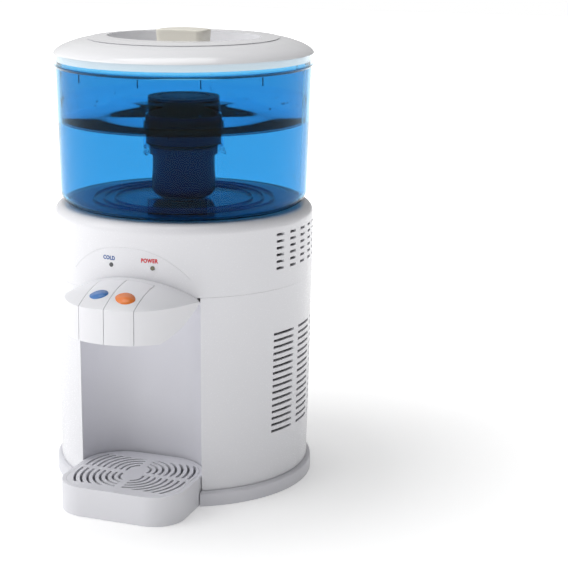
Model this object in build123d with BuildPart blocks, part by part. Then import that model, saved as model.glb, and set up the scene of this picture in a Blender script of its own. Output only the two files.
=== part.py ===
from build123d import *
from math import asin, cos, pi, radians, sin, sqrt
import os

# Countertop water dispenser: a filtering water tank standing on a cylindrical cabinet with
# a glass alcove, two push taps under a canopy, and a thermoelectric chiller inside.
# Millimetres. The origin is the cabinet's axis on the table top, +Z up, front towards -Y.

os.makedirs("parts", exist_ok=True)

# ---- driving dimensions -------------------------------------------------------------
# cabinet
body_radius = 127.5
skirt_top_radius = 127.2
skirt_foot_radius = 123.8
base_radius = 128.0
base_height = 14.2
base_floor = 3.0
seam_height = 203.0
deck_height = 271.0
shoulder_radius = 9.0
wall = 2.6
fit_gap = 0.3
seam_gap = 0.3

# alcove for the glass
alcove_half_width = 62.3
alcove_back = 64.0
alcove_corner = 46.0
alcove_ceiling = 199.0

# canopy over the taps
canopy_half_width = 64.0
canopy_reach = 188.5
canopy_centre = 112.0
canopy_power = 2.2
canopy_bottom = 172.0
canopy_crest_height = 220.3
canopy_crest_reach = 130.0
canopy_crown_across = 118.0
canopy_crown_along = 115.0
canopy_skirt_reach = 168.0
canopy_wall = 2.4

# push buttons
button_width = 26.7
button_gap = 0.6
button_rear_reach = 136.0
button_drop = 12.0
pivot_reach = 131.5
pivot_height = 213.0
pivot_radius = 1.5
pivot_clearance = 0.05
knuckle_low = 2.0
knuckle_high = 9.0
knuckle_radius = 3.2
cheek_inner = 28.0
cheek_outer = 31.0

# drip tray
tray_gap = 1.1
tray_front = 177.5
tray_back_gap = 3.0
tray_height = 28.5
tray_lift = 0.3
tray_front_corner = 30.0
tray_back_corner = 42.0
tray_wall = 2.4
grille_thickness = 2.6
grille_inset = 3.7
ledge_inset = 6.0
ledge_thickness = 2.4
slot_width = 2.6
slot_pitch = 6.0
slot_stretch = 10.0
slot_bar = 7.0
slot_rings = 8
slot_first = 11.0
slot_front = 41.0
slot_rear = 38.0

# tank
tank_foot_radius = 121.0
tank_top_radius = 124.2
tank_corner = 12.0
tank_wall = 2.5
tank_floor = 3.0
tank_ledge_height = 404.5
tank_ledge = 2.2
collar_radius = 126.0
collar_inner_radius = 123.8
collar_top = 417.8
seat_gap = 0.5
outlet_radius = 15.0
outlet_bore = 10.0
outlet_length = 17.0
socket_low = 246.0
socket_wall = 2.4
feed_radius = 6.0
lug_width = 55.0
lug_turn = 19.0
lug_reach = 96.0
lug_depth = 8.0
lug_height = 15.0

# upper water chamber and filter
chamber_floor_height = 351.5
chamber_floor = 2.0
chamber_wall = 1.8
chamber_gap = 0.6
chamber_rim = 2.0
well_radius = 40.0
well_floor_height = 326.0
nut_height = 8.0
seal_height = 1.5
filter_cap_radius = 35.0
filter_cap_top = 375.0
filter_head_radius = 37.0
filter_head_top = 357.0
filter_body_radius = 31.0
filter_bottom = 276.0

# lid
lid_radius = 126.6
lid_edge_height = 418.0
lid_rim_height = 433.5
lid_wall = 2.5
lid_skirt_depth = 7.0
recess_half_length = 77.5
recess_half_width = 59.0
recess_depth = 11.5
grip_length = 50.0
grip_width = 30.0
grip_top = 441.0

# chiller
reservoir_radius = 40.0
reservoir_wall = 1.2
reservoir_bottom = 112.0
reservoir_top = 236.0
reservoir_y = -8.0
reservoir_cap = 3.0
stand_top = 103.0
stand_plate = 3.0
stand_leg = 8.0
foam_thickness = 9.0
chiller_height = 152.0
cold_block_size = 44.0
peltier_size = 40.0
peltier_depth = 3.9
sink_size = 84.0
sink_base = 5.0
sink_fin_depth = 26.0
sink_fin = 1.6
sink_fin_count = 13
fan_size = 80.0
fan_depth = 25.0
fan_bore_radius = 38.0
fan_hub_radius = 17.0
fan_tip_gap = 1.0
blade_count = 7
blade_chord = 17.0
blade_thickness = 1.6
blade_twist = 38.0

# taps
tap_spacing = 27.8
tap_reach = 150.0
spout_radius = 5.0
spout_bore = 3.4
spout_tip = 177.0
stem_radius = 1.4
stem_clearance = 0.08
tap_radius = 8.0
tap_bottom = 186.0
tap_top = 208.5
tap_seat = 195.0
stem_top = 213.3
spring_wire = 0.3
spring_coil = 2.6
hose_radius = 4.0
hose_bore = 2.6
barb_bore = 1.6
tap_hose_height = 204.0
socket_hose_height = 250.5
hose_bend = 12.0
hose_drop_reach = 88.0

# indicator lamps
lamp_turn = 9.4
lamp_height = 230.6
lamp_radius = 2.0
board_reach = 110.5
board_thickness = 1.6
board_posts = [(-35, 222), (-35, 240), (35, 222), (35, 240)]

# rear panel and fittings
panel_half_width = 62.0
panel_low = 24.0
panel_high = 186.0
panel_frame = 6.0
inlet_height = 48.0
inlet_width = 27.0
inlet_tall = 20.0
inlet_depth = 20.0
fitting_x = 9.0
switch_height = 82.0
switch_width = 15.0
switch_tall = 22.0
switch_depth = 14.0
fitting_wall = 1.6
fitting_flange = 2.0
flat_plane = 120.6
flat_half_width = 26.0
flat_low = 34.0
flat_high = 100.0
drain_x = -17.0
drain_height = 56.0
drain_radius = 7.0
foot_radius = 9.0
foot_ring = 103.0
foot_recess = 2.0
boss_ring = 118.0
boss_radius = 5.0
screw_radius = 1.5
screw_head = 3.0
screw_head_height = 1.4
screw_length = 16.0

# side vents
slot_height = 2.5
low_vent_rows = 16
low_vent_columns = 3
low_vent_pitch = 6.42
low_vent_spacing = 38.8
low_vent_width = 29.8
low_vent_middle = 110.5
high_vent_rows = 6
high_vent_columns = 6
high_vent_pitch = 6.48
high_vent_spacing = 19.1
high_vent_width = 10.0
high_vent_middle = 238.9


def save(part, name):
    """Label a finished piece and write it to its own file."""
    part.label = name
    export_step(part, f"parts/{name}.step")


def skirt_radius(height):
    """Outer radius of the tapered lower cabinet at a height."""
    share = (height - base_height) / (seam_height - base_height)
    return skirt_foot_radius + (skirt_top_radius - skirt_foot_radius) * share


def tank_radius(height):
    """Outer radius of the tapered tank wall at a height."""
    low = deck_height + seat_gap + tank_corner
    share = (height - low) / (tank_ledge_height - low)
    return tank_foot_radius + (tank_top_radius - tank_foot_radius) * share


def pocket_face(half_width, front, back, front_corner, back_corner):
    """Plan of the alcove and of the tray: straight sides and four rounded corners."""
    with BuildSketch(mode=Mode.PRIVATE) as plan:
        with BuildLine():
            FilletPolyline(
                (half_width, -front), (half_width, -back),
                (-half_width, -back), (-half_width, -front),
                radius=[front_corner, back_corner, back_corner, front_corner],
                close=True,
            )
        make_face()
    return plan.sketch


def canopy_points(inset, count=10):
    """Points along the right half of the canopy's rounded front, from front to side."""
    a = canopy_half_width - inset
    b = canopy_reach - canopy_centre - inset
    points = []
    for i in range(count + 1):
        t = i / count * pi / 2
        x = a * sin(t) ** (2 / canopy_power)
        y = -canopy_centre - b * cos(t) ** (2 / canopy_power)
        points.append((x, y))
    return points


def canopy_solid(inset):
    """Solid canopy: rounded plan, crowned top, skirt rising towards the cabinet."""
    points = canopy_points(inset)
    low = canopy_bottom - 1
    with BuildPart(mode=Mode.PRIVATE) as solid:
        with BuildSketch(Plane.XY.offset(low)):
            with BuildLine():
                front = Spline(*points, tangents=[(1, 0), (0, 1)])
                Line(front @ 1, (points[-1][0], -body_radius / 2))
                Line((points[-1][0], -body_radius / 2), (0, -body_radius / 2))
                Line((0, -body_radius / 2), front @ 0)
            make_face()
        extrude(amount=canopy_crest_height - low + 5)
        mirror(about=Plane.YZ)
        crown = canopy_crown_along - inset
        across = canopy_crown_across - inset
        axis_height = canopy_crest_height - canopy_crown_along
        half = canopy_half_width + 3
        drop = across - sqrt(across**2 - half**2)
        with BuildPart(mode=Mode.PRIVATE) as barrel:
            with BuildSketch(Plane.XZ.offset(canopy_crest_reach)):
                with BuildLine():
                    ThreePointArc(
                        (-half, axis_height + crown - drop),
                        (0, axis_height + crown),
                        (half, axis_height + crown - drop),
                    )
                    Polyline(
                        (half, axis_height + crown - drop), (half, axis_height),
                        (-half, axis_height), (-half, axis_height + crown - drop),
                    )
                make_face()
            turn_axis = Axis((0, -canopy_crest_reach, axis_height), (1, 0, 0))
            revolve(axis=turn_axis, revolution_arc=360)
        add(barrel.part, mode=Mode.INTERSECT)
    return solid.part


def grown_box(x, y, z):
    """Box between pairs of limits along X, Y and Z."""
    corner = Plane(origin=(x[0], y[0], z[0]))
    return Solid.make_box(x[1] - x[0], y[1] - y[0], z[1] - z[0], corner)


def slab(face, low, high):
    """Prism of a plan face between two heights."""
    with BuildPart(mode=Mode.PRIVATE) as block:
        with BuildSketch(Plane.XY.offset(low)):
            add(face)
        extrude(amount=high - low)
    return block.part


def ring_of_revolution(points):
    """Solid of revolution about Z from the corner points of its half section."""
    with BuildPart(mode=Mode.PRIVATE) as ring:
        with BuildSketch(Plane.XZ):
            with BuildLine():
                Polyline(*points, close=True)
            make_face()
        revolve(axis=Axis.Z)
    return ring.part


def cone_shell(outer_gap, thickness, low, high):
    """Band of the tapered lower cabinet wall, set in from its outside by outer_gap."""
    return ring_of_revolution([
        (skirt_radius(low) - outer_gap, low),
        (skirt_radius(high) - outer_gap, high),
        (skirt_radius(high) - outer_gap - thickness, high),
        (skirt_radius(low) - outer_gap - thickness, low),
    ])



def hollow_face(inset):
    """Plan of the tray set in all round."""
    return pocket_face(
        tray_half_width - inset, tray_front - inset, tray_back + inset,
        tray_front_corner - inset, tray_back_corner - inset,
    )


def rod(x, y, z, radius):
    """Round bar between limits; the axis with a pair of limits is its length."""
    if isinstance(z, tuple):
        spot = Plane(origin=(x, y, z[0]), z_dir=(0, 0, 1))
        length = z[1] - z[0]
    elif isinstance(y, tuple):
        spot = Plane(origin=(x, y[0], z), z_dir=(0, 1, 0))
        length = y[1] - y[0]
    else:
        spot = Plane(origin=(x[0], y, z), z_dir=(1, 0, 0))
        length = x[1] - x[0]
    return Solid.make_cylinder(radius, length, spot)


def hose(points):
    """Hose with rounded bends through a run of points."""
    with BuildPart(mode=Mode.PRIVATE) as run:
        with BuildLine() as route:
            if len(points) > 2:
                FilletPolyline(*points, radius=hose_bend)
            else:
                Line(*points)
        with BuildSketch(Plane(origin=route.line @ 0, z_dir=route.line % 0)):
            Circle(hose_radius)
            Circle(hose_bore, mode=Mode.SUBTRACT)
        sweep(path=route.line)
    return run.part


# ---- shared shapes ------------------------------------------------------------------
alcove_reach = body_radius + 20
alcove_plan = pocket_face(alcove_half_width, alcove_reach, alcove_back, 5, alcove_corner)
alcove_wall_plan = pocket_face(
    alcove_half_width + wall, alcove_reach, alcove_back - wall, 5, alcove_corner + wall
)
tray_half_width = alcove_half_width - tray_gap
tray_back = alcove_back + tray_back_gap
tray_plan = pocket_face(
    tray_half_width, tray_front, tray_back, tray_front_corner, tray_back_corner
)
canopy_outside = canopy_solid(0)
canopy_inside = canopy_solid(canopy_wall)
with BuildPart() as canopy_cutter:
    with BuildSketch(Plane.YZ):
        with BuildLine():
            Polyline(
                (-canopy_reach - 5, canopy_bottom - 30),
                (-canopy_reach - 5, canopy_bottom),
                (-canopy_skirt_reach, canopy_bottom),
                (-canopy_centre, seam_height),
                (-canopy_centre + 80, seam_height),
                (-canopy_centre + 80, canopy_bottom - 30),
                close=True,
            )
        make_face()
    extrude(amount=canopy_half_width + 10, both=True)
canopy_shell = canopy_outside - canopy_inside - canopy_cutter.part


boss_angles = [35, 145, 208, 332]
boss_spots = [(boss_ring * cos(radians(a)), boss_ring * sin(radians(a))) for a in boss_angles]


# ---- cabinet ------------------------------------------------------------------------
with BuildPart() as base_plate:
    with BuildSketch():
        Circle(base_radius)
    extrude(amount=base_height)
    fillet(base_plate.faces().sort_by(Axis.Z)[-1].edges(), 3.0)
    with BuildSketch(Plane.XY.offset(base_floor)):
        Circle(skirt_foot_radius - wall + fit_gap)
        with Locations(*boss_spots):
            Circle(boss_radius + fit_gap)
    extrude(amount=base_height, mode=Mode.SUBTRACT)
    with BuildSketch():
        add(alcove_plan)
    extrude(amount=base_height, mode=Mode.SUBTRACT)
    with BuildSketch():
        with PolarLocations(foot_ring, 4, start_angle=45):
            Circle(foot_radius)
    extrude(amount=foot_recess, mode=Mode.SUBTRACT)
    with BuildSketch():
        with Locations(*boss_spots):
            Circle(screw_radius + fit_gap)
    extrude(amount=base_floor, mode=Mode.SUBTRACT)
    with BuildSketch():
        with Locations(*boss_spots):
            Circle(screw_head + fit_gap)
    extrude(amount=screw_head_height + fit_gap, mode=Mode.SUBTRACT)
save(base_plate.part, "base_plate")

with BuildPart() as rubber_feet:
    with BuildSketch():
        with PolarLocations(foot_ring, 4, start_angle=45):
            Circle(foot_radius - fit_gap)
    extrude(amount=foot_recess)
save(rubber_feet.part, "rubber_feet")



rear_window = grown_box(
    (-panel_half_width - fit_gap, panel_half_width + fit_gap),
    (60, body_radius + 5),
    (panel_low - fit_gap, panel_high + fit_gap),
)
frame_outer = grown_box(
    (-panel_half_width - panel_frame, panel_half_width + panel_frame),
    (60, body_radius + 5),
    (panel_low - panel_frame, panel_high + panel_frame),
)
frame_inner = grown_box(
    (-panel_half_width + panel_frame, panel_half_width - panel_frame),
    (60, body_radius + 5),
    (panel_low + panel_frame, panel_high - panel_frame),
)
panel_ledge = cone_shell(wall, wall, base_height, seam_height) & (frame_outer - frame_inner)
panel_screw_planes = []
for side in (-1, 1):
    for height in (panel_low + 8, panel_high - 8):
        radius = skirt_radius(height)
        turn = asin(side * (panel_half_width - 3.2) / radius)
        outward = (sin(turn), cos(turn), 0)
        spot = (outward[0] * radius, outward[1] * radius, height)
        panel_screw_planes.append(Plane(origin=spot, z_dir=outward))

with BuildPart() as lower_housing:
    add(cone_shell(0, wall, base_height + seam_gap, seam_height - seam_gap))
    add(slab(alcove_plan, 0, seam_height), mode=Mode.SUBTRACT)
    add(rear_window, mode=Mode.SUBTRACT)
    add(panel_ledge)
    with BuildSketch(Plane.XY.offset(base_floor)):
        with Locations(*boss_spots):
            Circle(boss_radius)
    extrude(amount=30)
    with BuildSketch(Plane.XY.offset(base_floor)):
        with Locations(*boss_spots):
            Circle(screw_radius)
    extrude(amount=24, mode=Mode.SUBTRACT)
    with BuildSketch(Plane.YZ.offset(0)):
        with Locations((0, low_vent_middle)):
            with GridLocations(low_vent_spacing, low_vent_pitch, low_vent_columns, low_vent_rows):
                Rectangle(low_vent_width, slot_height)
    extrude(amount=body_radius + 5, both=True, mode=Mode.SUBTRACT)
    for plane in panel_screw_planes:
        with BuildSketch(plane):
            Circle(screw_radius)
        extrude(amount=-10, mode=Mode.SUBTRACT)
save(lower_housing.part, "lower_housing")

with BuildPart() as alcove_liner:
    add(slab(alcove_wall_plan, base_floor, alcove_ceiling))
    add(slab(alcove_plan, 0, seam_height), mode=Mode.SUBTRACT)
    inner = ring_of_revolution([
        (0, 0), (skirt_foot_radius - wall - 0.1, 0), (skirt_foot_radius - wall - 0.1, base_height),
        (skirt_top_radius - wall - 0.1, seam_height), (0, seam_height),
    ])
    add(inner, mode=Mode.INTERSECT)
save(alcove_liner.part, "alcove_liner")

with BuildPart() as upper_housing:
    inner_radius = body_radius - wall
    inner_shoulder = shoulder_radius - wall
    lip_radius = body_radius - shoulder_radius
    seat_opening = lip_radius - 8
    with BuildSketch(Plane.XZ):
        with BuildLine():
            Line((body_radius, seam_height), (body_radius, deck_height - shoulder_radius))
            RadiusArc(
                (body_radius, deck_height - shoulder_radius), (lip_radius, deck_height),
                -shoulder_radius,
            )
            Polyline(
                (lip_radius, deck_height), (seat_opening, deck_height),
                (seat_opening, deck_height - wall), (lip_radius, deck_height - wall),
            )
            RadiusArc(
                (lip_radius, deck_height - wall), (inner_radius, deck_height - shoulder_radius),
                inner_shoulder,
            )
            Polyline(
                (inner_radius, deck_height - shoulder_radius), (inner_radius, seam_height),
                (body_radius, seam_height),
            )
        make_face()
    revolve(axis=Axis.Z)
    with BuildSketch(Plane.YZ):
        with Locations((0, high_vent_middle)):
            with GridLocations(
                high_vent_spacing, high_vent_pitch, high_vent_columns, high_vent_rows
            ):
                Rectangle(high_vent_width, slot_height)
    extrude(amount=body_radius + 5, both=True, mode=Mode.SUBTRACT)
    lamp_x = body_radius * sin(radians(lamp_turn))
    with BuildSketch(Plane.XZ):
        with Locations((-lamp_x, lamp_height), (lamp_x, lamp_height)):
            Circle(lamp_radius + 0.15)
        with Locations((0, seam_height)):
            Rectangle(tap_spacing + 18, 18)
    extrude(amount=body_radius + 5, mode=Mode.SUBTRACT)
    with BuildSketch(Plane.XZ.offset(board_reach)):
        with Locations(*board_posts):
            Circle(screw_head)
    extrude(amount=11)
save(upper_housing.part, "upper_housing")

with BuildPart() as ceiling_panel:
    add(slab(alcove_plan, alcove_ceiling - wall, alcove_ceiling))
    add(rod(0, 0, (alcove_ceiling - 10, alcove_ceiling + 10), skirt_top_radius - 0.4), mode=Mode.INTERSECT)
save(ceiling_panel.part, "ceiling_panel")

# canopy: fixed shell with cheeks for the hinge pin
button_edge = button_gap / 2 + button_width
button_zone = grown_box(
    (-button_edge - button_gap, button_edge + button_gap),
    (-canopy_reach - 5, -button_rear_reach + button_gap),
    (canopy_bottom - 10, canopy_crest_height + 5),
)
cabinet_core = rod(0, 0, (canopy_bottom - 10, canopy_crest_height + 10), body_radius + 0.1)
pivot_pin = rod((-30.4, 30.4), -pivot_reach, pivot_height, pivot_radius)
cheek_zone = grown_box(
    (cheek_inner, cheek_outer),
    (-pivot_reach - 4, -pivot_reach + 4),
    (pivot_height - 4, canopy_crest_height),
)
cheek_pair = [cheek_zone, cheek_zone.mirror(Plane.YZ)]
with BuildPart() as canopy:
    add(canopy_shell - button_zone)
    for cheek in cheek_pair:
        add(canopy_inside & cheek)
    add(cabinet_core, mode=Mode.SUBTRACT)
    add(pivot_pin, mode=Mode.SUBTRACT)
save(canopy.part, "canopy")
save(pivot_pin, "button_pivot_pin")

spout_spots = [(-tap_spacing / 2, -tap_reach), (tap_spacing / 2, -tap_reach)]
plate_slope = (seam_height - canopy_bottom) / (canopy_skirt_reach - canopy_centre)
plate_limit = canopy_solid(canopy_wall + 0.05)
with BuildPart() as spout_plate:
    with BuildSketch(Plane.YZ):
        with BuildLine():
            Polyline(
                (-canopy_reach + button_drop, canopy_bottom),
                (-canopy_skirt_reach, canopy_bottom),
                (-canopy_centre, seam_height),
                (-canopy_centre, seam_height + wall),
                (-canopy_skirt_reach - plate_slope * wall, canopy_bottom + wall),
                (-canopy_reach + button_drop, canopy_bottom + wall),
                close=True,
            )
        make_face()
    extrude(amount=canopy_half_width, both=True)
    add(plate_limit, mode=Mode.INTERSECT)
    add(cabinet_core, mode=Mode.SUBTRACT)
    with BuildSketch(Plane.XY.offset(tap_bottom)):
        with Locations(*spout_spots):
            Circle(spout_radius + fit_gap)
    extrude(amount=20, both=True, mode=Mode.SUBTRACT)
    with BuildSketch(Plane.XY.offset(tap_bottom - fit_gap)):
        with Locations(*spout_spots):
            Circle(tap_radius + fit_gap)
    extrude(amount=20, mode=Mode.SUBTRACT)
save(spout_plate.part, "spout_plate")

# ---- push buttons -------------------------------------------------------------------
with BuildPart() as cold_button:
    add(canopy_shell & grown_box(
        (-button_edge, -button_gap / 2),
        (-canopy_reach - 5, -button_rear_reach),
        (canopy_bottom - 10, canopy_crest_height + 5),
    ))
    arm = grown_box(
        (-knuckle_high, -knuckle_low),
        (-pivot_reach - 11, -button_rear_reach - 0.3),
        (pivot_height - knuckle_radius, canopy_crest_height),
    )
    add(canopy_inside & arm)
    add(grown_box(
        (-knuckle_high, -knuckle_low),
        (-pivot_reach - 11, -pivot_reach),
        (pivot_height - knuckle_radius, pivot_height + 2.5),
    ))
    add(rod((-knuckle_high, -knuckle_low), -pivot_reach, pivot_height, knuckle_radius))
    pad = grown_box(
        (-tap_spacing / 2 - 3, -tap_spacing / 2 + 3),
        (-tap_reach - 0.5, -tap_reach + 0.5),
        (stem_top + 0.05, canopy_crest_height),
    )
    add(canopy_inside & pad)
    bore_ends = (-knuckle_high - 1, -knuckle_low + 1)
    bore = rod(bore_ends, -pivot_reach, pivot_height, pivot_radius + pivot_clearance)
    add(bore, mode=Mode.SUBTRACT)
save(cold_button.part, "cold_button")
save(mirror(cold_button.part, about=Plane.YZ), "ambient_button")

# ---- taps ---------------------------------------------------------------------------
left_x = -tap_spacing / 2
with BuildPart() as cold_tap:
    add(rod(left_x, -tap_reach, (tap_bottom, tap_top), tap_radius))
    add(rod(left_x, (-tap_reach, -tap_reach + tap_radius + 9), tap_hose_height, hose_bore))
    add(rod(left_x, -tap_reach, (tap_bottom, tap_seat), spout_radius), mode=Mode.SUBTRACT)
    add(rod(left_x, -tap_reach, (tap_seat, tap_seat + 2), hose_bore), mode=Mode.SUBTRACT)
    add(rod(left_x, -tap_reach, (tap_seat + 1.5, tap_top - 2), spout_radius + 0.6), mode=Mode.SUBTRACT)
    add(rod(left_x, -tap_reach, (tap_seat, tap_top), stem_radius + stem_clearance), mode=Mode.SUBTRACT)
    add(
        rod(left_x, (-tap_reach, -tap_reach + tap_radius + 9), tap_hose_height, barb_bore),
        mode=Mode.SUBTRACT,
    )
save(cold_tap.part, "cold_tap")
save(mirror(cold_tap.part, about=Plane.YZ), "ambient_tap")

with BuildPart() as cold_spout:
    with BuildSketch(Plane.XY.offset(spout_tip)):
        with Locations((left_x, -tap_reach)):
            Circle(spout_radius)
            Circle(spout_bore, mode=Mode.SUBTRACT)
    extrude(amount=tap_bottom + 4.5 - spout_tip)
save(cold_spout.part, "cold_spout")
save(mirror(cold_spout.part, about=Plane.YZ), "ambient_spout")

with BuildPart() as cold_stem:
    add(rod(left_x, -tap_reach, (tap_seat - 1, stem_top), stem_radius))
    add(rod(left_x, -tap_reach, (tap_seat - 1.8, tap_seat), spout_radius - 0.6))
    add(rod(left_x, -tap_reach, (stem_top - 1.5, stem_top), 4.0))
save(cold_stem.part, "cold_stem")
save(mirror(cold_stem.part, about=Plane.YZ), "ambient_stem")

with BuildPart() as cold_spring:
    with BuildLine(Plane.XY.offset(tap_top + spring_wire)) as coil:
        Helix(pitch=1.3, height=2.6, radius=spring_coil, center=(left_x, -tap_reach, 0))
    with BuildSketch(Plane(origin=coil.line @ 0, z_dir=coil.line % 0)):
        Circle(spring_wire)
    sweep(path=coil.line, is_frenet=True)
save(cold_spring.part, "cold_spring")
save(mirror(cold_spring.part, about=Plane.YZ), "ambient_spring")

# ---- tank seat and hoses ------------------------------------------------------------
seat_rim = body_radius - shoulder_radius - 8 - fit_gap
socket_radius = outlet_radius + 0.6
cap_height = reservoir_top + reservoir_cap
ambient_x = tap_spacing / 2
with BuildPart() as tank_seat:
    add(rod(0, 0, (deck_height - 2 * wall, deck_height - wall), seat_rim + 6.5))
    add(rod(0, 0, (deck_height - 2 * wall, deck_height), seat_rim))
    add(rod(0, 0, (deck_height - 3 * wall, deck_height - wall), seat_rim - wall), mode=Mode.SUBTRACT)
    add(rod(0, 0, (socket_low, deck_height - 1), socket_radius + socket_wall))
    add(rod(0, 0, (cap_height + 1, socket_low + 1), feed_radius))
    add(rod(ambient_x, (-30, -8), socket_hose_height, hose_bore))
    add(rod(0, 0, (socket_low + 2.4, deck_height + 5), socket_radius), mode=Mode.SUBTRACT)
    add(rod(0, 0, (cap_height, socket_low + 5), feed_radius - 2), mode=Mode.SUBTRACT)
    add(rod(ambient_x, (-31, -4), socket_hose_height, barb_bore), mode=Mode.SUBTRACT)
save(tank_seat.part, "tank_seat")

tap_end = -tap_reach + tap_radius + 0.3
cold_barb_root = reservoir_y - reservoir_radius - foam_thickness
save(
    hose([(left_x, tap_end, tap_hose_height), (left_x, cold_barb_root, tap_hose_height)]),
    "cold_hose",
)
save(
    hose([
        (ambient_x, tap_end, tap_hose_height),
        (ambient_x, -hose_drop_reach, tap_hose_height),
        (ambient_x, -hose_drop_reach, socket_hose_height),
        (ambient_x, -19, socket_hose_height),
    ]),
    "ambient_hose",
)
save(
    hose([
        (drain_x, reservoir_y, stand_top - 0.3),
        (drain_x, reservoir_y, drain_height),
        (drain_x, flat_plane - 8.5, drain_height),
    ]),
    "drain_hose",
)

# ---- chiller ------------------------------------------------------------------------
def at_reservoir(low, high, radius):
    """Round bar on the reservoir's own axis."""
    return rod(0, reservoir_y, (low, high), radius)


jacket_bottom = reservoir_bottom - foam_thickness
drain_barb = rod(drain_x, reservoir_y, (jacket_bottom - 10, reservoir_bottom + 0.5), hose_bore)
outlet_barb = rod(left_x, (-68, reservoir_y - 30), tap_hose_height, hose_bore)
inside = at_reservoir(
    reservoir_bottom + reservoir_wall, reservoir_top + 5, reservoir_radius - reservoir_wall
)
with BuildPart() as cold_reservoir:
    add(at_reservoir(reservoir_bottom, reservoir_top, reservoir_radius))
    add(outlet_barb)
    add(drain_barb)
    add(inside, mode=Mode.SUBTRACT)
    add(rod(left_x, (-70, reservoir_y), tap_hose_height, barb_bore), mode=Mode.SUBTRACT)
    add(
        rod(drain_x, reservoir_y, (jacket_bottom - 12, reservoir_bottom + 5), barb_bore),
        mode=Mode.SUBTRACT,
    )
save(cold_reservoir.part, "cold_reservoir")

with BuildPart() as reservoir_lid:
    add(at_reservoir(reservoir_top, cap_height, reservoir_radius))
    add(at_reservoir(reservoir_top - 4, reservoir_top, reservoir_radius - reservoir_wall - 0.1))
    add(rod(0, 0, (reservoir_top, socket_low - 0.5), feed_radius + 2))
    add(at_reservoir(reservoir_top - 5, reservoir_top - 1, reservoir_radius - 5), mode=Mode.SUBTRACT)
    add(rod(0, 0, (reservoir_top - 6, socket_low), feed_radius), mode=Mode.SUBTRACT)
save(reservoir_lid.part, "reservoir_lid")

block_half = cold_block_size / 2
block_back = reservoir_y + reservoir_radius + 11
block_box = grown_box(
    (-block_half, block_half),
    (block_back - 18, block_back),
    (chiller_height - block_half, chiller_height + block_half),
)
window_box = grown_box(
    (-block_half - fit_gap, block_half + fit_gap),
    (reservoir_y + 20, block_back + 5),
    (chiller_height - block_half - fit_gap, chiller_height + block_half + fit_gap),
)
with BuildPart() as foam_jacket:
    add(at_reservoir(jacket_bottom, reservoir_top, reservoir_radius + foam_thickness))
    add(at_reservoir(reservoir_bottom, reservoir_top + 1, reservoir_radius + 0.05), mode=Mode.SUBTRACT)
    add(window_box, mode=Mode.SUBTRACT)
    add(rod(left_x, (-70, reservoir_y), tap_hose_height, hose_bore + 0.1), mode=Mode.SUBTRACT)
    add(rod(drain_x, reservoir_y, (80, 130), hose_bore + 0.1), mode=Mode.SUBTRACT)
save(foam_jacket.part, "foam_jacket")

with BuildPart() as chiller_stand:
    add(grown_box((-48, 48), (reservoir_y - 44, reservoir_y + 44), (stand_top - stand_plate, stand_top)))
    for leg_x in (-44, 44):
        for leg_y in (reservoir_y - 36, reservoir_y + 36):
            add(grown_box(
                (leg_x - stand_leg / 2, leg_x + stand_leg / 2),
                (leg_y - stand_leg / 2, leg_y + stand_leg / 2),
                (base_floor, stand_top - 1),
            ))
    add(rod(drain_x, reservoir_y, (80, 110), hose_radius + 0.4), mode=Mode.SUBTRACT)
save(chiller_stand.part, "chiller_stand")

save(block_box - at_reservoir(80, 240, reservoir_radius + 0.05), "cold_block")
peltier_half = peltier_size / 2
save(
    grown_box(
        (-peltier_half, peltier_half),
        (block_back, block_back + peltier_depth),
        (chiller_height - peltier_half, chiller_height + peltier_half),
    ),
    "peltier_module",
)
sink_front = block_back + peltier_depth
sink_half = sink_size / 2
fin_pitch = (sink_size - sink_fin) / (sink_fin_count - 1)
with BuildPart() as heat_sink:
    with BuildSketch(Plane.XY.offset(chiller_height - sink_half)):
        with Locations((0, sink_front + sink_base / 2)):
            Rectangle(sink_size, sink_base)
        with Locations((0, sink_front + (sink_base + sink_fin_depth) / 2)):
            with GridLocations(fin_pitch, 1, sink_fin_count, 1):
                Rectangle(sink_fin, sink_base + sink_fin_depth)
    extrude(amount=sink_size)
save(heat_sink.part, "heat_sink")

fan_front = sink_front + sink_base + sink_fin_depth
fan_back = fan_front + fan_depth
with BuildPart() as fan_frame:
    with BuildSketch(Plane.XZ.offset(-fan_back)):
        with Locations((0, chiller_height)):
            RectangleRounded(fan_size, fan_size, 5)
            Circle(fan_bore_radius, mode=Mode.SUBTRACT)
            with GridLocations(fan_size - 9, fan_size - 9, 2, 2):
                Circle(2.0, mode=Mode.SUBTRACT)
    extrude(amount=fan_depth)
    with BuildSketch(Plane.XZ.offset(-fan_back)):
        with Locations((0, chiller_height)):
            Circle(fan_hub_radius - 2)
            Rectangle(2 * fan_bore_radius + 2, 3.5)
            Rectangle(3.5, 2 * fan_bore_radius + 2)
    extrude(amount=3)
    add(rod(0, (fan_back - 9, fan_back - 2), chiller_height, 3.0))
save(fan_frame.part, "fan_frame")

with BuildPart() as fan_rotor:
    add(rod(0, (fan_front + 3, fan_back - 4), chiller_height, fan_hub_radius))
    add(rod(0, (fan_back - 10, fan_back - 3), chiller_height, 3.05), mode=Mode.SUBTRACT)
    blade_reach = fan_bore_radius - fan_tip_gap
    blade_root = fan_hub_radius - 2
    for i in range(blade_count):
        blade = Solid.make_box(
            blade_thickness,
            blade_chord,
            blade_reach - blade_root,
            Plane(origin=(-blade_thickness / 2, -blade_chord / 2, blade_root)),
        )
        blade = blade.rotate(Axis.Z, blade_twist).rotate(Axis.Y, i * 360 / blade_count)
        add(blade.moved(Location((0, (fan_front + fan_back) / 2 - 1, chiller_height))))
    add(rod(0, (fan_front - 5, fan_back + 5), chiller_height, blade_reach), mode=Mode.INTERSECT)
save(fan_rotor.part, "fan_rotor")

# ---- electrics ----------------------------------------------------------------------
with BuildPart() as power_supply:
    add(grown_box((-40, 40), (42, 92), (base_floor, base_floor + 32)))
    fillet(power_supply.edges().filter_by(Axis.Z), 3)
save(power_supply.part, "power_supply")

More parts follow.
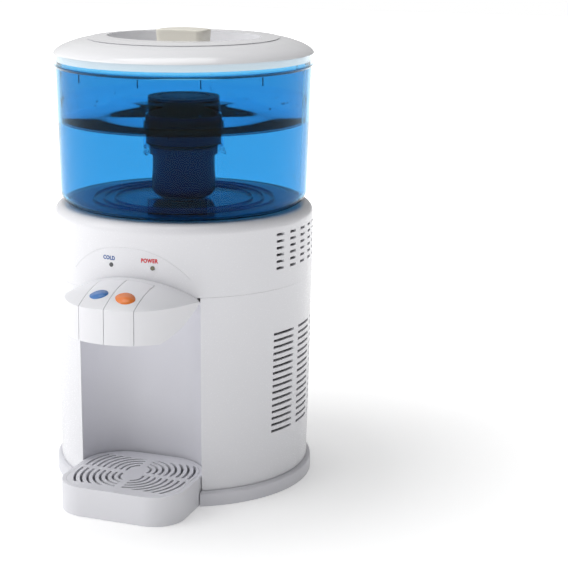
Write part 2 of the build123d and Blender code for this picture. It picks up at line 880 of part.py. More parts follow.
save(
    grown_box((-40, 40), (-board_reach, -board_reach + board_thickness), (216, 246)),
    "control_board",
)
lamp_x = body_radius * sin(radians(lamp_turn))
lamp_face = -sqrt(body_radius**2 - lamp_x**2) - 0.4
save(rod(-lamp_x, (lamp_face, -board_reach), lamp_height, lamp_radius), "cold_lamp")
save(rod(lamp_x, (lamp_face, -board_reach), lamp_height, lamp_radius), "power_lamp")

with BuildPart() as rear_panel:
    add(cone_shell(0, wall, panel_low, panel_high) & grown_box(
        (-panel_half_width, panel_half_width), (60, body_radius + 5), (panel_low, panel_high)
    ))
    pocket = grown_box(
        (-flat_half_width - 2.4, flat_half_width + 2.4),
        (flat_plane - 2.4, body_radius + 5),
        (flat_low - 2.4, flat_high + 2.4),
    )
    core = ring_of_revolution([
        (0, panel_low), (skirt_radius(panel_low), panel_low),
        (skirt_radius(panel_high), panel_high), (0, panel_high),
    ])
    add(core & pocket)
    add(grown_box(
        (-flat_half_width, flat_half_width), (flat_plane, body_radius + 5), (flat_low, flat_high)
    ), mode=Mode.SUBTRACT)
    with BuildSketch(Plane.XZ.offset(-60)):
        with Locations((0, chiller_height - 8)):
            with GridLocations(38, low_vent_pitch + 1, 3, 9):
                Rectangle(low_vent_width, slot_height)
        with Locations((fitting_x, inlet_height)):
            Rectangle(inlet_width + fit_gap, inlet_tall + fit_gap)
        with Locations((fitting_x, switch_height)):
            Rectangle(switch_width + fit_gap, switch_tall + fit_gap)
        with Locations((drain_x, drain_height)):
            Circle(5)
    extrude(amount=-body_radius, mode=Mode.SUBTRACT)
    for plane in panel_screw_planes:
        hole = Solid.make_cylinder(screw_radius + 0.2, 12, plane.offset(-6))
        add(hole, mode=Mode.SUBTRACT)
save(rear_panel.part, "rear_panel")

with BuildPart() as panel_screws:
    for plane in panel_screw_planes:
        add(Solid.make_cylinder(screw_radius, 9.2, plane.offset(-9)))
        add(Solid.make_cylinder(screw_head, screw_head_height, plane.offset(0.1)))
save(panel_screws.part, "panel_screws")

with BuildPart() as base_screws:
    for x, y in boss_spots:
        add(rod(x, y, (fit_gap, screw_length), screw_radius))
        add(rod(x, y, (0.2, 0.2 + screw_head_height), screw_head))
save(base_screws.part, "base_screws")


def flanged_box(height, width, tall, depth):
    """Body of a rear fitting: a box through the panel with a flange on its outside."""
    body = grown_box(
        (fitting_x - width / 2, fitting_x + width / 2),
        (flat_plane - depth, flat_plane + 0.5),
        (height - tall / 2, height + tall / 2),
    )
    flange = grown_box(
        (fitting_x - width / 2 - 2, fitting_x + width / 2 + 2),
        (flat_plane, flat_plane + fitting_flange),
        (height - tall / 2 - 2, height + tall / 2 + 2),
    )
    return body + flange


inlet_body = flanged_box(inlet_height, inlet_width, inlet_tall, inlet_depth)
with BuildPart() as power_inlet:
    add(inlet_body)
    add(grown_box(
        (fitting_x - inlet_width / 2 + fitting_wall, fitting_x + inlet_width / 2 - fitting_wall),
        (flat_plane - inlet_depth + 3, flat_plane + 5),
        (inlet_height - inlet_tall / 2 + fitting_wall, inlet_height + inlet_tall / 2 - fitting_wall),
    ), mode=Mode.SUBTRACT)
    for pin_x in (-7, 0, 7):
        add(grown_box(
            (fitting_x + pin_x - 1, fitting_x + pin_x + 1),
            (flat_plane - inlet_depth + 2, flat_plane - 3),
            (inlet_height - 5, inlet_height - 1),
        ))
save(power_inlet.part, "power_inlet")

switch_body = flanged_box(switch_height, switch_width, switch_tall, switch_depth)
rocker_y = flat_plane - 2.5
with BuildPart() as switch_frame:
    add(switch_body)
    add(grown_box(
        (fitting_x - switch_width / 2 + fitting_wall, fitting_x + switch_width / 2 - fitting_wall),
        (flat_plane - switch_depth + 2, flat_plane + 5),
        (switch_height - switch_tall / 2 + 1.2, switch_height + switch_tall / 2 - 1.2),
    ), mode=Mode.SUBTRACT)
    pin_ends = (fitting_x - switch_width / 2 + 1, fitting_x + switch_width / 2 - 1)
    add(rod(pin_ends, rocker_y, switch_height, 1.2))
save(switch_frame.part, "switch_frame")

rocker_half = switch_width / 2 - fitting_wall - 0.3
with BuildPart() as rocker_switch:
    with BuildSketch(Plane.YZ.offset(fitting_x - rocker_half)):
        with BuildLine():
            Polyline(
                (rocker_y + 5.5, switch_height + 7.6), (rocker_y + 3.8, switch_height),
                (rocker_y + 5.5, switch_height - 7.6), (rocker_y - 4, switch_height - 6.5),
                (rocker_y - 4, switch_height + 6.5),
                close=True,
            )
        make_face()
    extrude(amount=2 * rocker_half)
    add(
        rod((fitting_x - 10, fitting_x + 10), rocker_y, switch_height, 1.25),
        mode=Mode.SUBTRACT,
    )
save(rocker_switch.part, "rocker_switch")

with BuildPart() as drain_plug:
    add(rod(drain_x, (flat_plane, flat_plane + 3.4), drain_height, drain_radius))
    add(rod(drain_x, (flat_plane - 8, flat_plane + 1), drain_height, 4.9))
    add(rod(drain_x, (flat_plane - 18, flat_plane - 7), drain_height, hose_bore))
save(drain_plug.part, "drain_plug")

# ---- drip tray ----------------------------------------------------------------------
tray_cavity = hollow_face(tray_wall)
tray_ledge_plan = hollow_face(ledge_inset)
grille_pocket = hollow_face(grille_inset)
grille_plan = hollow_face(grille_inset + fit_gap)
grille_low = tray_height - grille_thickness
with BuildPart() as drip_tray:
    add(slab(tray_plan, tray_lift, tray_height))
    add(slab(tray_cavity, tray_lift + tray_wall, grille_low - ledge_thickness), mode=Mode.SUBTRACT)
    add(slab(tray_ledge_plan, tray_lift + tray_wall, tray_height), mode=Mode.SUBTRACT)
    add(slab(grille_pocket, grille_low, tray_height + 1), mode=Mode.SUBTRACT)
save(drip_tray.part, "drip_tray")

grille_middle = -(tray_front + tray_back) / 2
with BuildPart() as drip_grille:
    add(slab(grille_plan, grille_low, tray_height))
    with BuildSketch(Plane.XY.offset(grille_low)) as slots:
        with Locations((0, grille_middle)):
            for i in reversed(range(slot_rings)):
                ring_radius = slot_first + i * slot_pitch
                SlotCenterToCenter(2 * slot_stretch, 2 * ring_radius + slot_width, rotation=90)
                SlotCenterToCenter(
                    2 * slot_stretch, 2 * ring_radius - slot_width, rotation=90,
                    mode=Mode.SUBTRACT,
                )
        with Locations((0, grille_middle + (slot_rear - slot_front) / 2)):
            Rectangle(2 * body_radius, slot_front + slot_rear, mode=Mode.INTERSECT)
        with Locations((0, grille_middle)):
            Rectangle(2 * body_radius, slot_bar, mode=Mode.SUBTRACT)
            Rectangle(slot_bar, 2 * body_radius, mode=Mode.SUBTRACT)
    extrude(amount=grille_thickness, mode=Mode.SUBTRACT)
save(drip_grille.part, "drip_grille")

# ---- tank ---------------------------------------------------------------------------
tank_bottom = deck_height + seat_gap
step_height = tank_ledge_height + tank_ledge
inner_top = tank_top_radius - tank_wall
inner_foot = tank_foot_radius - tank_wall
lug = Solid.make_box(
    lug_width, lug_depth, lug_height,
    Plane(origin=(-lug_width / 2, -lug_reach, tank_bottom + tank_floor - 0.5)),
).rotate(Axis.Z, lug_turn)
with BuildPart() as tank:
    with BuildSketch(Plane.XZ):
        with BuildLine():
            bend = tank_bottom + tank_corner
            Line((outlet_bore, tank_bottom), (tank_foot_radius - tank_corner, tank_bottom))
            RadiusArc(
                (tank_foot_radius - tank_corner, tank_bottom), (tank_foot_radius, bend),
                -tank_corner,
            )
            Polyline(
                (tank_foot_radius, bend), (tank_top_radius, tank_ledge_height),
                (collar_radius, step_height), (collar_radius, collar_top),
                (collar_inner_radius, collar_top), (collar_inner_radius, step_height),
                (inner_top, step_height), (inner_top, tank_ledge_height), (inner_foot, bend),
            )
            RadiusArc(
                (inner_foot, bend), (tank_foot_radius - tank_corner, tank_bottom + tank_floor),
                tank_corner - tank_wall,
            )
            Polyline(
                (tank_foot_radius - tank_corner, tank_bottom + tank_floor),
                (outlet_bore, tank_bottom + tank_floor), (outlet_bore, tank_bottom),
            )
        make_face()
    revolve(axis=Axis.Z)
    add(lug)
    add(rod(0, 0, (tank_bottom - outlet_length, tank_bottom + tank_floor + 0.4), outlet_radius))
    add(rod(0, 0, (tank_bottom - outlet_length, tank_bottom + 7), outlet_bore), mode=Mode.SUBTRACT)
save(tank.part, "tank")

with BuildPart() as outlet_gasket:
    with BuildSketch(Plane.XY.offset(deck_height)):
        Circle(outlet_radius + 4.5)
        Circle(outlet_radius + 0.1, mode=Mode.SUBTRACT)
    extrude(amount=seat_gap)
save(outlet_gasket.part, "outlet_gasket")

# ---- upper water chamber and filter -------------------------------------------------
chamber_top_radius = inner_top - chamber_gap
chamber_foot_radius = tank_radius(chamber_floor_height) - tank_wall - chamber_gap - 0.4
rim_top = step_height + chamber_rim
neck_hole = filter_body_radius - 4
save(
    ring_of_revolution([
        (neck_hole, well_floor_height), (well_radius, well_floor_height),
        (well_radius, chamber_floor_height), (chamber_foot_radius, chamber_floor_height),
        (chamber_top_radius, tank_ledge_height), (chamber_top_radius, step_height),
        (collar_inner_radius - fit_gap, step_height), (collar_inner_radius - fit_gap, rim_top),
        (chamber_top_radius - chamber_wall, rim_top),
        (chamber_top_radius - chamber_wall, tank_ledge_height),
        (chamber_foot_radius - chamber_wall, chamber_floor_height + chamber_floor),
        (well_radius - chamber_floor, chamber_floor_height + chamber_floor),
        (well_radius - chamber_floor, well_floor_height + chamber_floor),
        (neck_hole, well_floor_height + chamber_floor),
    ]),
    "raw_water_chamber",
)
neck_low = well_floor_height - nut_height
chamber_deck = well_floor_height + chamber_floor
head_low = chamber_deck + seal_height
head_high = filter_head_top
cap_low = filter_cap_top - 4
with BuildPart() as filter_cartridge:
    with BuildSketch(Plane.XZ):
        with BuildLine():
            dome = 10.0
            Line((0, filter_bottom), (filter_body_radius - dome, filter_bottom))
            RadiusArc(
                (filter_body_radius - dome, filter_bottom),
                (filter_body_radius, filter_bottom + dome), -dome,
            )
            Polyline(
                (filter_body_radius, filter_bottom + dome), (filter_body_radius, neck_low),
                (neck_hole - fit_gap, neck_low), (neck_hole - fit_gap, head_low + 6),
                (neck_hole - 3, head_low + 6), (neck_hole - 3, neck_low - 2),
                (filter_body_radius - 2, neck_low - 4),
                (filter_body_radius - 2, filter_bottom + dome),
                (filter_body_radius - dome, filter_bottom + 2), (0, filter_bottom + 2),
                (0, filter_bottom),
            )
        make_face()
    revolve(axis=Axis.Z)
    with BuildSketch(Plane.XY.offset(filter_bottom)):
        with PolarLocations(7, 6):
            Circle(1.5)
    extrude(amount=4, mode=Mode.SUBTRACT)
save(filter_cartridge.part, "filter_cartridge")

with BuildPart() as filter_nut:
    with BuildSketch(Plane.XY.offset(neck_low + 0.2)):
        Circle(filter_body_radius + 3)
        with PolarLocations(filter_body_radius + 3.6, 16):
            Circle(1.2, mode=Mode.SUBTRACT)
        Circle(neck_hole - fit_gap, mode=Mode.SUBTRACT)
    extrude(amount=nut_height - 0.2)
save(filter_nut.part, "filter_nut")

save(
    ring_of_revolution([
        (neck_hole, chamber_deck), (filter_head_radius, chamber_deck),
        (filter_head_radius, head_low), (neck_hole, head_low),
    ]),
    "filter_seal",
)

with BuildPart() as filter_head:
    add(rod(0, 0, (head_low, head_high), filter_head_radius))
    add(rod(0, 0, (head_low - 1, head_low + 6), neck_hole - fit_gap), mode=Mode.SUBTRACT)
    add(rod(0, 0, (head_low + 5, head_high - 2), filter_head_radius - 6), mode=Mode.SUBTRACT)
    with BuildSketch(Plane.XZ):
        with Locations((0, head_low + 9)):
            Rectangle(2.4, 5)
    extrude(amount=filter_head_radius + 2, both=True, mode=Mode.SUBTRACT)
save(filter_head.part, "filter_head")

save(
    ring_of_revolution([
        (filter_cap_radius - 3, head_high), (filter_cap_radius - 1, head_high),
        (filter_cap_radius - 0.4, cap_low), (filter_cap_radius - 2.4, cap_low),
    ]),
    "filter_strainer",
)

with BuildPart() as filter_cap:
    add(rod(0, 0, (cap_low, filter_cap_top), filter_cap_radius))
    with BuildSketch(Plane.XY.offset(cap_low)):
        with PolarLocations(30.6, 28):
            Circle(1.3)
        with PolarLocations(19, 18):
            Circle(1.3)
    extrude(amount=5, mode=Mode.SUBTRACT)
    with BuildSketch(Plane.XY.offset(filter_cap_top - 1.2)):
        Circle(26)
        Circle(23, mode=Mode.SUBTRACT)
    extrude(amount=2, mode=Mode.SUBTRACT)
save(filter_cap.part, "filter_cap")

# ---- lid ----------------------------------------------------------------------------
lid_profile = [
    (lid_radius, lid_edge_height), (125.4, 420.0), (117.9, 425.0), (111.6, 427.4),
    (103.0, 429.9), (91.8, 431.9), (77.5, 433.4),
]
lid_bottom = lid_rim_height - recess_depth
skirt_outer = collar_inner_radius - 0.6
with BuildPart() as lid:
    with BuildSketch(Plane.XZ):
        with BuildLine():
            Line((0, lid_edge_height), lid_profile[0])
            dome = Spline(*lid_profile, tangents=[(-0.25, 1), (-1, 0.07)])
            Polyline(lid_profile[-1], (0, lid_rim_height), (0, lid_edge_height))
        make_face()
    revolve(axis=Axis.Z)
    with BuildSketch(Plane.XZ):
        with BuildLine():
            Line((0, lid_edge_height - 1), (skirt_outer - lid_wall, lid_edge_height - 1))
            Line((skirt_outer - lid_wall, lid_edge_height - 1), (skirt_outer - lid_wall, lid_edge_height + 1))
            Spline(
                (skirt_outer - lid_wall, lid_edge_height + 1),
                *[(x, z - lid_wall) for x, z in lid_profile[2:]],
            )
            Polyline(
                (lid_profile[-1][0], lid_profile[-1][1] - lid_wall),
                (0, lid_rim_height - lid_wall), (0, lid_edge_height - 1),
            )
        make_face()
    revolve(axis=Axis.Z, mode=Mode.SUBTRACT)
    with BuildSketch(Plane.XY.offset(lid_bottom - lid_wall)):
        Ellipse(recess_half_length + lid_wall, recess_half_width + lid_wall)
    extrude(amount=recess_depth + 1)
    with BuildSketch(Plane.XY.offset(lid_bottom)):
        Ellipse(recess_half_length, recess_half_width)
    extrude(amount=recess_depth + 5, mode=Mode.SUBTRACT)
    with BuildSketch(Plane.XY.offset(lid_edge_height - lid_skirt_depth)):
        Circle(skirt_outer)
        Circle(skirt_outer - lid_wall, mode=Mode.SUBTRACT)
    extrude(amount=lid_skirt_depth + 1)
save(lid.part, "lid")

with BuildPart() as lid_grip:
    with BuildSketch(Plane.XY.offset(lid_bottom)):
        RectangleRounded(grip_length - 2, grip_width - 2, 6)
    extrude(amount=grip_top - lid_bottom + 2, taper=-3)
    crown = Solid.make_sphere(260, Plane(origin=(0, 0, grip_top - 260)))
    add(crown, mode=Mode.INTERSECT)
    top = lid_grip.faces().sort_by(Axis.Z)[-1]
    fillet(top.edges(), 1.5)
save(lid_grip.part, "lid_grip")
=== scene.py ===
import bpy, bmesh, math, random
from mathutils import Vector, Matrix, Euler


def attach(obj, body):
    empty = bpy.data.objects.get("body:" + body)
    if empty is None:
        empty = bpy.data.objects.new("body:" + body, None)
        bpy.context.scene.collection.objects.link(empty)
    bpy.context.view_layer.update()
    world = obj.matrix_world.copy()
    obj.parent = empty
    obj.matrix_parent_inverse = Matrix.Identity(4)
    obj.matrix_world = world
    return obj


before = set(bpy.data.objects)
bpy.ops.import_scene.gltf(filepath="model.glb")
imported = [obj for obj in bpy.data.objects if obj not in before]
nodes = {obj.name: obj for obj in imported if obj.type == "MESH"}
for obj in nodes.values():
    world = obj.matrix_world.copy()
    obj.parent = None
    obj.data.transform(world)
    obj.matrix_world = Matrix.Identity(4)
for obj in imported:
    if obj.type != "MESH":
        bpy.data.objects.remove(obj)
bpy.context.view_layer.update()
scene = bpy.context.scene
mm = 0.001
cloudMm = 45  # slow drift of colour over a moulding
reliefMm = 0.1


def toLinear(hexCode):
    # sRGB hex to linear, the only place colours are turned
    out = []
    for i in (0, 2, 4):
        c = int(hexCode[i:i + 2], 16) / 255
        out.append(c / 12.92 if c <= 0.04045 else ((c + 0.055) / 1.055) ** 2.4)
    return (*out, 1)


def addNode(tree, kind, settings=None, **links):
    # one node with its settings; a link is a socket's name, or i and its number, to a value or an output
    node = tree.nodes.new(kind)
    for key, value in (settings or {}).items():
        setattr(node, key, value)
    for key, value in links.items():
        numbered = key[0] == "i" and key[1:].isdigit()
        socket = node.inputs[int(key[1:]) if numbered else key.replace("_", " ")]
        if isinstance(value, bpy.types.NodeSocket):
            tree.links.new(value, socket)
        else:
            socket.default_value = value
    return node


def makeMaterial(name, colour, rough=0.4, metal=0.0, ior=1.5, spreadMm=0.6, bump=0.02, roughVary=0.05,
                 tintVary=0.03, transmission=0.0, coat=0.0, stretch=(1, 1, 1)):
    # principled surface with a mottled colour, roughness and a fine relief, all from object space
    mat = bpy.data.materials.new(name)
    mat.use_nodes = True
    tree = mat.node_tree
    tree.nodes.clear()
    out = tree.nodes.new("ShaderNodeOutputMaterial")
    base = toLinear(colour)
    shader = addNode(tree, "ShaderNodeBsdfPrincipled", Metallic=metal, IOR=ior)
    shader.inputs["Transmission Weight"].default_value = transmission
    shader.inputs["Coat Weight"].default_value = coat
    tree.links.new(shader.outputs[0], out.inputs[0])
    coord = tree.nodes.new("ShaderNodeTexCoord")
    place = addNode(tree, "ShaderNodeMapping", Vector=coord.outputs["Object"], Scale=stretch)
    grainScale, cloudScale = 1 / (spreadMm * mm), 1 / (cloudMm * mm)
    grain = addNode(tree, "ShaderNodeTexNoise", Vector=place.outputs[0], Scale=grainScale, Detail=3.0)
    cloud = addNode(tree, "ShaderNodeTexNoise", Vector=place.outputs[0], Scale=cloudScale, Detail=2.0)
    if tintVary:
        dark = tuple(c * (1 - tintVary) for c in base[:3]) + (1,)
        tint = addNode(tree, "ShaderNodeMix", {"data_type": "RGBA"}, i0=cloud.outputs[0], i6=dark, i7=base)
        tree.links.new(tint.outputs[2], shader.inputs["Base Color"])
    else:
        shader.inputs["Base Color"].default_value = base
    spread = addNode(tree, "ShaderNodeMapRange", Value=grain.outputs[0])
    spread.inputs["To Min"].default_value = max(rough - roughVary, 0)
    spread.inputs["To Max"].default_value = min(rough + roughVary, 1)
    if roughVary:
        tree.links.new(spread.outputs[0], shader.inputs["Roughness"])
    else:
        shader.inputs["Roughness"].default_value = rough
    if bump:
        relief = addNode(tree, "ShaderNodeBump", Height=grain.outputs[0], Strength=bump)
        relief.inputs["Distance"].default_value = reliefMm * mm
        tree.links.new(relief.outputs[0], shader.inputs["Normal"])
    return mat


clearLook = dict(bump=0, roughVary=0, tintVary=0)
# what each finish really is, and what it gives the eye
finishes = {
    # glossy moulded ABS, cool white with a soft wide highlight
    "absHousingMoulded": dict(colour="ECECF0", rough=0.26, ior=1.53, spreadMm=1.2, bump=0.015,
                              tintVary=0.012),
    "absCanopyMoulded": dict(colour="EDEDF1", rough=0.3, ior=1.53, spreadMm=1.2, bump=0.015, tintVary=0.012),
    "absTrayMoulded": dict(colour="E9E9EE", rough=0.34, ior=1.53, spreadMm=1.0, bump=0.02, tintVary=0.015),
    # ABS with a fine spark-eroded grain
    "absLinerGrained": dict(colour="E6E6EC", rough=0.42, ior=1.53, spreadMm=0.9, bump=0.05),
    "absBaseMoulded": dict(colour="E2E2E8", rough=0.36, ior=1.53, spreadMm=1.0, bump=0.03),
    "absRearPanelGrained": dict(colour="D2D2D8", rough=0.5, ior=1.53, spreadMm=0.8, bump=0.08),
    # clear styrene-acrylonitrile, polished in the mould, with a low index that keeps the inside in sight
    "sanTankPolished": dict(colour="70B9DC", rough=0.0, ior=1.16, transmission=1.0, **clearLook),
    "sanChamberPolished": dict(colour="DCF1FA", rough=0.0, ior=1.012, transmission=1.0, **clearLook),
    # water at rest, clear, with a low index too
    "waterStill": dict(colour="EAF8FF", rough=0.0, ior=1.008, transmission=1.0, **clearLook),
    # the tank's plastic where it is thicker, a deeper blue line
    "sanRidgeTinted": dict(colour="2E7FC0", rough=0.1, ior=1.3, transmission=0.6, **clearLook),
    # air under water, a bright rim and a clear middle
    "airBubble": dict(colour="DDF2FB", rough=0.02, ior=1.25, transmission=1.0, **clearLook),
    # white acrylic, polished, a little milky
    "acrylicLidPolished": dict(colour="F0F0F3", rough=0.2, ior=1.49, spreadMm=1.5, bump=0.01, coat=0.3,
                               tintVary=0.01),
    "absGripMoulded": dict(colour="ECE8DC", rough=0.35, ior=1.53, spreadMm=1.0, bump=0.03),
    # filter housing, dyed polypropylene
    "ppCartridgeNavy": dict(colour="1E1C52", rough=0.4, ior=1.49, spreadMm=0.8, bump=0.08, tintVary=0.15),
    "ppCapBlue": dict(colour="12405E", rough=0.35, ior=1.49, spreadMm=0.8, bump=0.05, tintVary=0.1),
    # rubber and silicone, dull and soft-edged
    "rubberFootMoulded": dict(colour="1C1C1E", rough=0.8, spreadMm=0.6, bump=0.15),
    "siliconeHoseExtruded": dict(colour="D8DCDD", rough=0.45, ior=1.41, spreadMm=1.5, bump=0.04),
    "siliconeSealMoulded": dict(colour="1B1C20", rough=0.6, ior=1.41, spreadMm=0.8, bump=0.06),
    # stainless steel, drawn, with fine upright lines
    "steelReservoirDrawn": dict(colour="C4C5C8", rough=0.28, metal=1.0, spreadMm=0.7, bump=0.05,
                                stretch=(1, 1, 0.08)),
    # spring wire and zinc-plated screws, bright and smooth
    "steelSpringWire": dict(colour="B5B6BA", rough=0.25, metal=1.0, spreadMm=0.5, bump=0.03),
    "steelScrewPlated": dict(colour="A9ABAF", rough=0.35, metal=1.0, spreadMm=0.5, bump=0.04),
    # aluminium with extrusion lines, and zinc-coated sheet with its spangle
    "aluminiumExtruded": dict(colour="C9CACE", rough=0.38, metal=1.0, spreadMm=0.6, bump=0.05,
                              stretch=(1, 1, 0.1)),
    "steelSheetGalvanised": dict(colour="AEB1B4", rough=0.45, metal=1.0, spreadMm=6.0, bump=0.03,
                                 tintVary=0.12),
    # fired alumina, chalky white; foam with a coarse skin; glass-filled nylon; green solder mask
    "ceramicFired": dict(colour="E8E6DF", rough=0.55, spreadMm=0.5, bump=0.05),
    "foamClosedCell": dict(colour="DAD6C8", rough=0.95, spreadMm=1.6, bump=0.6, tintVary=0.1),
    "nylonBlackMoulded": dict(colour="17181A", rough=0.5, spreadMm=0.7, bump=0.1),
    "boardSolderMask": dict(colour="1F5A34", rough=0.35, spreadMm=1.0, bump=0.04, tintVary=0.15),
    # polished light guides, dark until lit
    "lampCoolMoulded": dict(colour="35363C", rough=0.15, ior=1.58, bump=0, coat=0.4),
    "lampOliveMoulded": dict(colour="5A5634", rough=0.15, ior=1.58, bump=0, coat=0.4),
    # pad-printed inks, flat and even
    "inkBluePrinted": dict(colour="1F56A0", rough=0.45, bump=0.02, tintVary=0.05),
    "inkRedPrinted": dict(colour="D81E30", rough=0.45, bump=0.02, tintVary=0.05),
    "inkOrangePrinted": dict(colour="F7842E", rough=0.3, bump=0.01, tintVary=0.05, coat=0.3),
    "inkIconBluePrinted": dict(colour="2B74BE", rough=0.3, bump=0.01, tintVary=0.05, coat=0.3),
}
mats = {name: makeMaterial(name, **look) for name, look in finishes.items()}

# the tank's collar is moulded clear, and the tint starts below it
collarTint = dict(clear="EDF6FA", low=0.4072, high=0.4092)
tankTree = mats["sanTankPolished"].node_tree
tankShader = next(n for n in tankTree.nodes if n.type == "BSDF_PRINCIPLED")
tankPlace = tankTree.nodes.new("ShaderNodeTexCoord")
tankSplit = addNode(tankTree, "ShaderNodeSeparateXYZ", Vector=tankPlace.outputs["Object"])
tankStep = addNode(tankTree, "ShaderNodeMapRange", Value=tankSplit.outputs["Z"], From_Min=collarTint["low"],
                   From_Max=collarTint["high"])
tankMix = addNode(tankTree, "ShaderNodeMix", {"data_type": "RGBA"}, i0=tankStep.outputs[0],
                  i6=toLinear(finishes["sanTankPolished"]["colour"]), i7=toLinear(collarTint["clear"]))
tankTree.links.new(tankMix.outputs[2], tankShader.inputs["Base Color"])
print("materials ready", len(mats))

nodeFinish = {
    "absHousingMoulded": ["lower_housing", "upper_housing", "tank_seat"],
    "absCanopyMoulded": ["canopy", "cold_button", "ambient_button"],
    "absTrayMoulded": ["drip_tray", "drip_grille"],
    "absLinerGrained": ["alcove_liner", "ceiling_panel", "spout_plate", "cold_tap", "ambient_tap",
                        "cold_spout", "ambient_spout", "cold_stem", "ambient_stem", "reservoir_lid"],
    "absBaseMoulded": ["base_plate"],
    "absRearPanelGrained": ["rear_panel"],
    "sanTankPolished": ["tank"],
    "sanChamberPolished": ["raw_water_chamber", "filter_strainer"],
    "acrylicLidPolished": ["lid"],
    "absGripMoulded": ["lid_grip"],
    "ppCartridgeNavy": ["filter_cartridge", "filter_head", "filter_nut"],
    "ppCapBlue": ["filter_cap"],
    "rubberFootMoulded": ["rubber_feet"],
    "siliconeHoseExtruded": ["cold_hose", "ambient_hose", "drain_hose"],
    "siliconeSealMoulded": ["outlet_gasket", "filter_seal"],
    "steelReservoirDrawn": ["cold_reservoir"],
    "steelSpringWire": ["cold_spring", "ambient_spring", "button_pivot_pin"],
    "steelScrewPlated": ["panel_screws", "base_screws"],
    "aluminiumExtruded": ["cold_block", "heat_sink"],
    "steelSheetGalvanised": ["chiller_stand", "power_supply"],
    "ceramicFired": ["peltier_module"],
    "foamClosedCell": ["foam_jacket"],
    "nylonBlackMoulded": ["fan_frame", "fan_rotor", "power_inlet", "switch_frame", "rocker_switch",
                          "drain_plug"],
    "boardSolderMask": ["control_board"],
    "lampCoolMoulded": ["cold_lamp"],
    "lampOliveMoulded": ["power_lamp"],
}
for finish, names in nodeFinish.items():
    for name in names:
        nodes[name].data.materials.clear()
        nodes[name].data.materials.append(mats[finish])
missing = set(nodes) - {n for names in nodeFinish.values() for n in names}
print("nodes dressed, left over:", sorted(missing))


def newPiece(name, build, material, body):
    # a mesh filled by build(bm), riding on one body
    bm = bmesh.new()
    build(bm)
    bmesh.ops.recalc_face_normals(bm, faces=bm.faces)
    mesh = bpy.data.meshes.new(name)
    bm.to_mesh(mesh)
    bm.free()
    piece = bpy.data.objects.new(name, mesh)
    scene.collection.objects.link(piece)
    mesh.materials.append(mats[material])
    for face in mesh.polygons:
        face.use_smooth = True
    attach(piece, body)
    return piece


def lathe(bm, profile, steps=128):
    # closed ring of revolution from (radius, height) pairs in millimetres
    rings = []
    for i in range(steps):
        a = 2 * math.pi * i / steps
        rings.append([bm.verts.new((r * mm * math.cos(a), r * mm * math.sin(a), z * mm)) for r, z in profile])
    for i in range(steps):
        here, after = rings[i], rings[(i + 1) % steps]
        for j in range(len(profile)):
            k = (j + 1) % len(profile)
            bm.faces.new((here[j], here[k], after[k], after[j]))


def tube(bm, points, radius, sides=8):
    # round cord through points in metres, with closed ends
    rings = []
    for i, p in enumerate(points):
        ahead = points[min(i + 1, len(points) - 1)] - points[max(i - 1, 0)]
        side = ahead.cross(Vector((0, 0, 1)))
        side = side.normalized() if side.length > 1e-9 else Vector((1, 0, 0))
        up = side.cross(ahead).normalized()
        rings.append([bm.verts.new(p + radius * (math.cos(t) * side + math.sin(t) * up))
                      for t in (2 * math.pi * k / sides for k in range(sides))])
    for a, b in zip(rings, rings[1:]):
        for k in range(sides):
            bm.faces.new((a[k], a[(k + 1) % sides], b[(k + 1) % sides], b[k]))
    bm.faces.new(rings[0])
    bm.faces.new(rings[-1])


# water standing in the upper chamber and in the tank, radii and heights in millimetres
water = dict(level=374.6, floor=353.3, chamberInner=117.9, chamberTop=118.9, tankInner=118.8, tankFloor=274.2,
             tankTop=351.3, tankTopInner=120.6, tankCorner=9.5, cornerSteps=6, headRadius=37.05,
             headTop=357.1, strainerRadius=35.6, cartridgeRadius=31.05, cartridgeEnd=276.3, cartridgeRound=10,
             cartridgeTaper=8, nutRadius=34.05, nutLow=318.0, wellRadius=40.05, wellLow=325.9, hub=0.5,
             steps=160)


def rawWater(bm):
    w = water
    lathe(bm, [(w["headRadius"], w["floor"]), (w["chamberInner"], w["floor"]), (w["chamberTop"], w["level"]),
               (w["strainerRadius"], w["level"]), (w["strainerRadius"], w["headTop"]),
               (w["headRadius"], w["headTop"])], w["steps"])


def cleanWater(bm):
    w = water
    corner = []
    for i in range(w["cornerSteps"] + 1):
        a = math.radians(-90 + 90 / w["cornerSteps"] * i)
        corner.append((w["tankInner"] - w["tankCorner"] + w["tankCorner"] * math.cos(a),
                       w["tankFloor"] + w["tankCorner"] + w["tankCorner"] * math.sin(a)))
    lathe(bm, [(w["hub"], w["tankFloor"]), *corner, (w["tankTopInner"], w["tankTop"]),
               (w["wellRadius"], w["tankTop"]), (w["wellRadius"], w["wellLow"]),
               (w["nutRadius"], w["wellLow"]), (w["nutRadius"], w["nutLow"]),
               (w["cartridgeRadius"], w["nutLow"]),
               (w["cartridgeRadius"], w["cartridgeEnd"] + w["cartridgeRound"]),
               (w["cartridgeRadius"] - w["cartridgeTaper"], w["cartridgeEnd"]),
               (w["hub"], w["cartridgeEnd"])], w["steps"])


newPiece("raw_water", rawWater, "waterStill", "filter_chamber")
newPiece("clean_water", cleanWater, "waterStill", "water_tank")
print("water poured")

# moulded rings on the tank's floor
ridges = dict(radii=(67, 78, 88), half=1.1, crownShare=0.5, height=1.6, floor=274.4)


def floorRidge(bm, radius):
    foot, crown = ridges["half"], ridges["half"] * ridges["crownShare"]
    low, high = ridges["floor"], ridges["floor"] + ridges["height"]
    lathe(bm, [(radius - foot, low), (radius + foot, low), (radius + crown, high), (radius - crown, high)])


for number, radius in enumerate(ridges["radii"]):
    newPiece("floor_ridge_%d" % number, lambda bm: floorRidge(bm, radius), "sanRidgeTinted", "water_tank")

# short level marks under the chamber's rim, angles in degrees round the axis
ticks = dict(angles=(-146, -122, -88, -60, -30, 4, 40, 100, 160), radius=119.4, low=395.5, high=403.5,
             half=0.45, depth=0.5)


